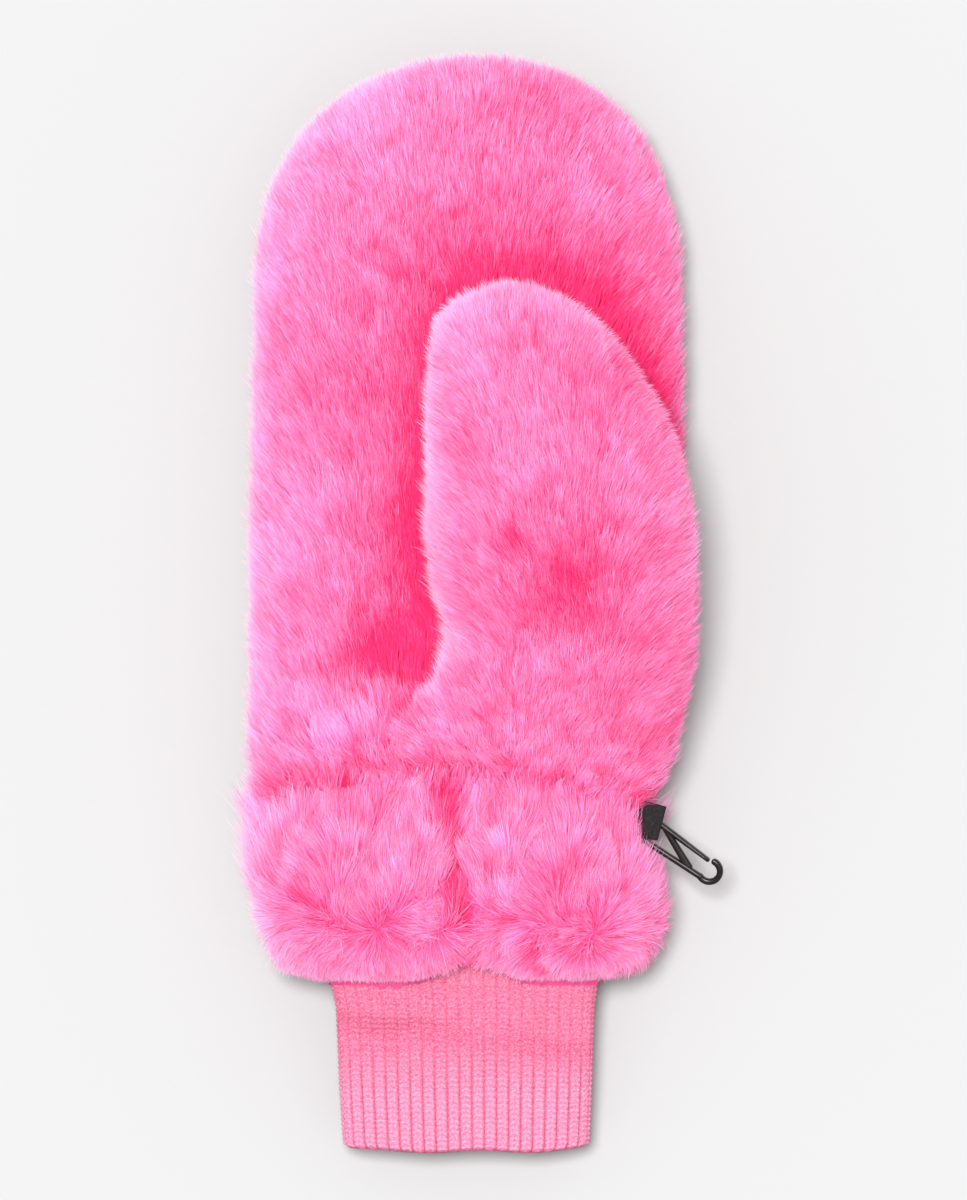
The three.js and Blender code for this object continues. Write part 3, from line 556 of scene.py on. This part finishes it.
def knit():
    per_rib = 10
    around = RIBS * per_rib
    heights = np.concatenate([np.arange(0, 48, 0.25), np.arange(48, 61.1, 1.3)])
    across = (np.arange(around) % per_rib) / per_rib
    side = 2 * across - 1
    rib = np.arange(around) // per_rib
    dice = np.random.default_rng(51)
    phase = dice.normal(0, 0.12, RIBS)[rib]
    rows, rises, tones_and_shadows = [], [], []
    for y in heights:
        x, z, out = tube_row(y, around, 0)
        groove = np.exp(-(np.minimum(across, 1 - across) / 0.075) ** 2)
        deep = 0.95 - 0.6 * min(max((y - 18) / 14, 0), 1)
        loops = np.cos(2 * math.pi * (y / STITCH + phase + 0.42 * np.abs(side)))
        rise = -deep * groove + 0.2 * loops * (1 - groove) - 0.16 * np.exp(-(side / 0.16) ** 2) - 0.12 * side ** 2
        rise = rise - 1.3 * max(0, 1 - y / 1.3) ** 2
        wave = 0.35 * np.sin(x * 0.21 + 1.0) * math.exp(-y / 10)
        up_y = np.full(around, y) + hem_lift(x, y) + wave
        rows.append(np.stack([x + out[:, 0] * rise, up_y, z + out[:, 1] * rise], 1))
        rises.append(rise + 0.05)
        # Painted shadows along the cuff's soft folds on its upper side; the colour is also paler towards the hem
        shadow = np.exp(-((y - 36 + 0.1 * (x + 28)) / 2.6) ** 2) / (1 + np.exp((x + 6) / 5))
        shadow = shadow + 0.5 * np.exp(-((y - 31.5 + 0.12 * (x - 5)) / 4) ** 2 - ((x - 20) / 12) ** 2)
        tones_and_shadows.append(0.25 + 0.75 * np.clip((30 - y) / 14, 0, 1) - 0.9 * np.where(z > 12, shadow, 0))
    inner = []
    for y in [0.4, 2, 12, 24, 30, 34, 38, 42, 48, 61]:
        x, z, out = tube_row(y, around, CUFF_WALL if y > 1 else CUFF_WALL * 0.62)
        inner.append(np.stack([x, np.full(around, y) + hem_lift(x, y), z], 1)[::5])
    fine, coarse = len(rows), len(inner)
    few = around // 5
    co = np.concatenate([np.concatenate(rows), np.concatenate(inner)])
    j = np.arange(around)
    i = np.arange(fine - 1)[:, None]
    quads = np.stack([i * around + j, i * around + (j + 1) % around, (i + 1) * around + (j + 1) % around,
                      (i + 1) * around + j], 2).reshape(-1, 4)[:, ::-1]
    k = np.arange(few)
    start = fine * around
    i2 = np.arange(coarse - 1)[:, None]
    inner_quads = np.stack([start + i2 * few + k, start + i2 * few + (k + 1) % few,
                            start + (i2 + 1) * few + (k + 1) % few, start + (i2 + 1) * few + k], 2).reshape(-1, 4)
    # At the hem and at the sewn end, fans of triangles join the fine outside to the coarse inside.
    joins = []
    for row, place, flip in ((0, 0, False), (fine - 1, coarse - 1, True)):
        a = row * around + (k * 5)[:, None] + np.arange(5)
        b = row * around + (k[:, None] * 5 + np.arange(5) + 1) % around
        c = start + place * few + k
        d = start + place * few + (k + 1) % few
        for step in range(5):
            inside = c if step < 3 else d
            near, far = (b, a) if flip else (a, b)
            joins.append(np.stack([near[:, step], far[:, step], inside], 1))
            if step == 2:
                joins.append(np.stack([b[:, 2], d, c] if not flip else [d, b[:, 2], c], 1))
    joins = np.concatenate(joins)

    tall = heights / CUFF_LENGTH * 0.72

    def map_of(faces):
        outer_part = faces < start
        row = np.where(outer_part, faces // around, 0)
        inner_row = np.where(outer_part, 0, (faces - start) // few)
        column = np.where(outer_part, (faces % around) / around, ((faces - start) % few) / few)
        wrap = (column.max(1, keepdims=True) - column) > 0.5
        column = np.where(wrap, column + 1, column) * 0.98
        v = np.where(outer_part, tall[row] + 0.02, 0.77 + inner_row / (coarse - 1) * 0.2)
        return np.stack([column, v], 2)

    joins_map = map_of(joins)
    joins_map[..., 1] = np.where(joins < start, 0.004, 0.012)
    obj = build("knit_cuff", (co + SHIFT) * mm, [quads, inner_quads, joins], knit_coat,
                [map_of(quads), map_of(inner_quads), joins_map])
    value = np.concatenate([np.concatenate(rises), np.full(few * coarse, -0.4)])
    tone_and_shadow = np.concatenate([np.concatenate(tones_and_shadows), np.full(few * coarse, 0.2)])
    for title, numbers in (("rise", (value + 1.1) / 1.3), ("tone_and_shadow", tone_and_shadow)):
        level = obj.data.attributes.new(title, "FLOAT", "POINT")
        level.data.foreach_set("value", np.clip(numbers, 0, 1).astype(np.float32))
    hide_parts("rib_cuff")
    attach(obj, "root")


knit_coat, tree, shader = material("knit")
rise = tree.nodes.new("ShaderNodeAttribute")
rise.attribute_name = "rise"
tone_and_shadow = tree.nodes.new("ShaderNodeAttribute")
tone_and_shadow.attribute_name = "tone_and_shadow"
# Painted shade: the ramps by rise make the grooves between the ribs and the hollows between the stitches' loops
# darker
upper_and_shadow_yarn = ramp(tree, rise.outputs["Fac"], [
    (0.0, (0.288, 0.0086, 0.043)), (0.4, (0.446, 0.029, 0.094)),
    (0.75, (0.54, 0.065, 0.158)), (1.0, (0.605, 0.108, 0.216))])
pale_yarn = ramp(tree, rise.outputs["Fac"], [
    (0.0, (0.245, 0.011, 0.05)), (0.4, (0.504, 0.086, 0.194)),
    (0.75, (0.598, 0.18, 0.31)), (1.0, (0.641, 0.274, 0.403))])
# The deeper ramp holds the painted fold shadows and the cuff's upper part, the paler one its part near the hem
yarn = blend_colour(tree, tone_and_shadow.outputs["Fac"], upper_and_shadow_yarn, pale_yarn)
mottle = ramp(tree, noise(tree, 2200, 3), [(0.4, (0.36, 0.029, 0.086)), (0.6, (0.662, 0.288, 0.403))])
link(tree, blend_colour(tree, 0.4, yarn, mottle), shader.inputs["Base Color"])
shader.inputs["Roughness"].default_value = 0.85
shader.inputs["Specular IOR Level"].default_value = 0.2
shader.inputs["Sheen Weight"].default_value = 0.15
shader.inputs["Sheen Tint"].default_value = (1.0, 0.7, 0.85, 1)
bump(tree, noise(tree, 2600, 2), 0.5, 0.0003, shader)
knit()

# The hook and its strap lie in a frame of their own: U along the hook from the bow's centre, W across.
turn, roll = math.radians(-36), math.radians(14)
about_z = np.array([[math.cos(turn), -math.sin(turn), 0], [math.sin(turn), math.cos(turn), 0], [0, 0, 1]])
about_x = np.array([[1, 0, 0], [0, math.cos(roll), -math.sin(roll)], [0, math.sin(roll), math.cos(roll)]])
CLIP = about_z @ about_x
BOW_CENTRE = np.array([117 * 0.5817, 100.3 - 20.15, 25.0])
BOW, WIRE, THICK, BAR_U, SPINE_W, ROOT_W = 4.0, 1.6, 2.6, -20.7, -3.9, 2.7
TAPE, TAPE_THICK, TAIL = 10.2, 1.2, 9.0
BAR_STEPS = 14


def clipped(points):
    return (points @ CLIP.T + BOW_CENTRE + SHIFT) * mm


def sweep(path, half, thick):
    """Points and faces of a bar with a rounded section along a flat path, with round ends."""
    path = np.asarray(path, float)
    half = np.broadcast_to(np.asarray(half, float), len(path)).copy()
    ways = unit(np.gradient(path, axis=0))
    spots, sizes, dirs = [], [], []
    for end, sign in ((0, -1), (-1, 1)):
        steps = np.array([0.98, 0.9, 0.7, 0.4]) if end == 0 else np.array([0.4, 0.7, 0.9, 0.98])
        spots.append(path[end] + sign * ways[end] * (steps * half[end])[:, None])
        sizes.append(half[end] * np.sqrt(1 - steps ** 2))
        dirs.append(np.repeat(ways[end][None], 4, 0))
    spot = np.concatenate([spots[0], path, spots[1]])
    size = np.concatenate([sizes[0], half, sizes[1]])
    way = np.concatenate([dirs[0], ways, dirs[1]])
    angle = np.arange(20) / 20 * 2 * math.pi
    c = np.sign(np.cos(angle)) * np.abs(np.cos(angle)) ** 0.55
    s = np.sign(np.sin(angle)) * np.abs(np.sin(angle)) ** 0.55
    normal = np.stack([-way[:, 1], way[:, 0]], 1)
    tall = np.clip(size / size.max() * 1.6, 0.25, 1) * thick / 2
    flat = spot[:, None, :] + normal[:, None, :] * (size[:, None] * c)[..., None]
    co = np.concatenate([flat, (tall[:, None] * s)[..., None]], 2)
    rings = len(spot)
    i, j = np.arange(rings - 1)[:, None], np.arange(20)
    quads = np.stack([i * 20 + j, i * 20 + (j + 1) % 20, (i + 1) * 20 + (j + 1) % 20, (i + 1) * 20 + j], 2)
    caps = np.stack([np.arange(20)[::-1], (rings - 1) * 20 + np.arange(20)])
    return co.reshape(-1, 3), quads.reshape(-1, 4)[:, ::-1], caps[:, ::-1]


def straight(a, b):
    return np.linspace(a, b, BAR_STEPS)


hook_coat, tree, shader = material("hook_plastic")
shades = ramp(tree, noise(tree, 120, 3), [(0.35, (0.006, 0.004, 0.004)), (0.65, (0.014, 0.009, 0.009))])
link(tree, shades, shader.inputs["Base Color"])
shader.inputs["Roughness"].default_value = 0.28
shader.inputs["Specular IOR Level"].default_value = 0.22
bump(tree, noise(tree, 700, 3), 0.12, 0.0002, shader)

angles = np.linspace(-1.95, 1.68, 40)
middle = BOW - WIRE * 0.56
arc = np.stack([middle * np.cos(angles), middle * np.sin(angles)], 1)
gate_tip = (-BOW * 0.55, BOW * 0.61)
foot = (-BOW * 1.35, arc[0, 1] + 0.25)
bars = [sweep(arc, WIRE * 0.56, THICK), sweep(straight((BAR_U, SPINE_W), arc[0]), WIRE / 2, THICK),
        sweep(straight((BAR_U, SPINE_W), (BAR_U, ROOT_W)), WIRE / 2, THICK),
        sweep(straight((BAR_U, ROOT_W), gate_tip), straight(0.88, 0.56), THICK),
        sweep(straight((BAR_U + WIRE * 2.25, ROOT_W - 0.3), foot), straight(0.8, 1.12), THICK * 0.8)]
points, hook_quads, hook_caps = [], [], []
for co, quads, caps in bars:
    base = sum(len(p) for p in points)
    points.append(co)
    hook_quads.append(quads + base)
    hook_caps.append(caps + base)
hook = build("plastic_snap_hook", clipped(np.concatenate(points)),
             [np.concatenate(hook_quads), np.concatenate(hook_caps)], hook_coat)
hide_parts("snap_hook")
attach(hook, "root")


# Webbing strap: a slab with a woven upper side, and its narrow loop round the hook's bar
def slab(top, bottom):
    """Points and faces of a slab between two grids of points."""
    n, m = top.shape[:2]
    co = np.concatenate([top.reshape(-1, 3), bottom.reshape(-1, 3)])
    i, j = np.arange(n - 1)[:, None], np.arange(m - 1)
    face = np.stack([i * m + j, (i + 1) * m + j, (i + 1) * m + j + 1, i * m + j + 1], 2).reshape(-1, 4)
    edge = np.concatenate([np.arange(m), np.arange(1, n) * m + m - 1, (n - 1) * m + np.arange(m - 2, -1, -1),
                           np.arange(n - 2, 0, -1) * m])
    follow = np.roll(edge, -1)
    wall = np.stack([edge, follow, follow + n * m, edge + n * m], 1)
    return co, [face, face[:, ::-1] + n * m, wall]


def weave(a, b):
    """The height of the threads, along and across the tape."""
    return 0.07 * np.sin(2 * math.pi * (b / 0.62)) * np.cos(2 * math.pi * (a / 0.9 + 0.5 * np.floor(b / 0.31) / 2))


tape_coat, tree, shader = material("webbing")
shades = ramp(tree, noise(tree, 1500, 3), [(0.3, (0.006, 0.006, 0.006)), (0.7, (0.022, 0.02, 0.021))])
link(tree, shades, shader.inputs["Base Color"])
shader.inputs["Roughness"].default_value = 0.8
shader.inputs["Specular IOR Level"].default_value = 0.15
bump(tree, noise(tree, 3000, 2), 0.6, 0.0002, shader)

rise_z = THICK / 2 + 0.3
outside = WIRE / 2 + 0.3 + TAPE_THICK
a, b = np.meshgrid(np.linspace(-(TAIL + outside), 0, 90), np.linspace(0, TAPE, 80), indexing="ij")
curl = 1 - np.sqrt(np.clip(1 - np.clip((a + 1.1) / 1.15, 0, 1) ** 2, 0, 1))
edge = np.minimum(b, TAPE - b)
soft = 0.25 * np.exp(-edge / 0.3)
top_z = rise_z + TAPE_THICK + weave(a, b) - curl - soft
flap_turn = math.radians(21)
u = a * math.cos(flap_turn) - b * math.sin(flap_turn) + BAR_U + outside + WIRE * 0.85
w = a * math.sin(flap_turn) + b * math.cos(flap_turn) + (SPINE_W + ROOT_W) / 2 - TAPE_THICK / 2
flap, flap_faces = slab(np.stack([u, w, top_z], 2), np.stack([u, w, np.full_like(u, rise_z) + soft * 0.5], 2))
inside = WIRE / 2 + 0.3
bend = np.linspace(-math.pi / 2, math.pi / 2, 24)
path = np.concatenate([
    np.stack([np.linspace(BAR_U - TAIL, BAR_U, 10)[:-1], np.full(9, -(rise_z + TAPE_THICK / 2))], 1),
    np.stack([BAR_U + (inside + TAPE_THICK / 2) * np.cos(bend), (rise_z + TAPE_THICK / 2) * np.sin(bend)], 1),
    np.stack([np.linspace(BAR_U, BAR_U - TAIL, 10)[1:], np.full(9, rise_z + TAPE_THICK / 2)], 1)])
way = unit(np.gradient(path, axis=0))
normal = np.stack([way[:, 1], -way[:, 0]], 1)
across = np.linspace(-2.2, 2.2, 30) + (SPINE_W + ROOT_W) / 2


def layer(off):
    """The loop's path at a distance from its middle, as a grid of points."""
    spot = path + normal * off
    shape = (len(path), len(across))
    return np.stack([np.broadcast_to(spot[:, :1], shape), np.broadcast_to(across, shape),
                     np.broadcast_to(spot[:, 1:], shape)], 2)


loop, loop_faces = slab(layer(TAPE_THICK / 2 - 0.03), layer(-TAPE_THICK / 2 + 0.05))
both = clipped(np.concatenate([flap, loop]))
strap = build("webbing_strap", both, [*flap_faces, *[f + len(flap) for f in loop_faces]], tape_coat)
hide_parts("strap_loop")
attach(strap, "root")

# Floor and light
floor_coat, tree, shader = material("floor")
shader.inputs["Base Color"].default_value = (0.41, 0.41, 0.41, 1)
shader.inputs["Roughness"].default_value = 0.9
shader.inputs["Specular IOR Level"].default_value = 0.1
corners = np.array([[-3, -3, 0], [3, -3, 0], [3, 3, 0], [-3, 3, 0]])
floor = build("floor", corners, [np.array([[0, 1, 2, 3]])], floor_coat)

world = bpy.data.worlds.new("world")
world.use_nodes = True
world.node_tree.nodes["Background"].inputs["Color"].default_value = (1, 1, 1, 1)
world.node_tree.nodes["Background"].inputs["Strength"].default_value = 0.76
scene.world = world
sun = bpy.data.objects.new("sun", bpy.data.lights.new("sun", "SUN"))
sun.data.energy = 4.65
sun.data.angle = math.radians(16)
sun.rotation_euler = (math.radians(-6), math.radians(-5), 0)
scene.collection.objects.link(sun)
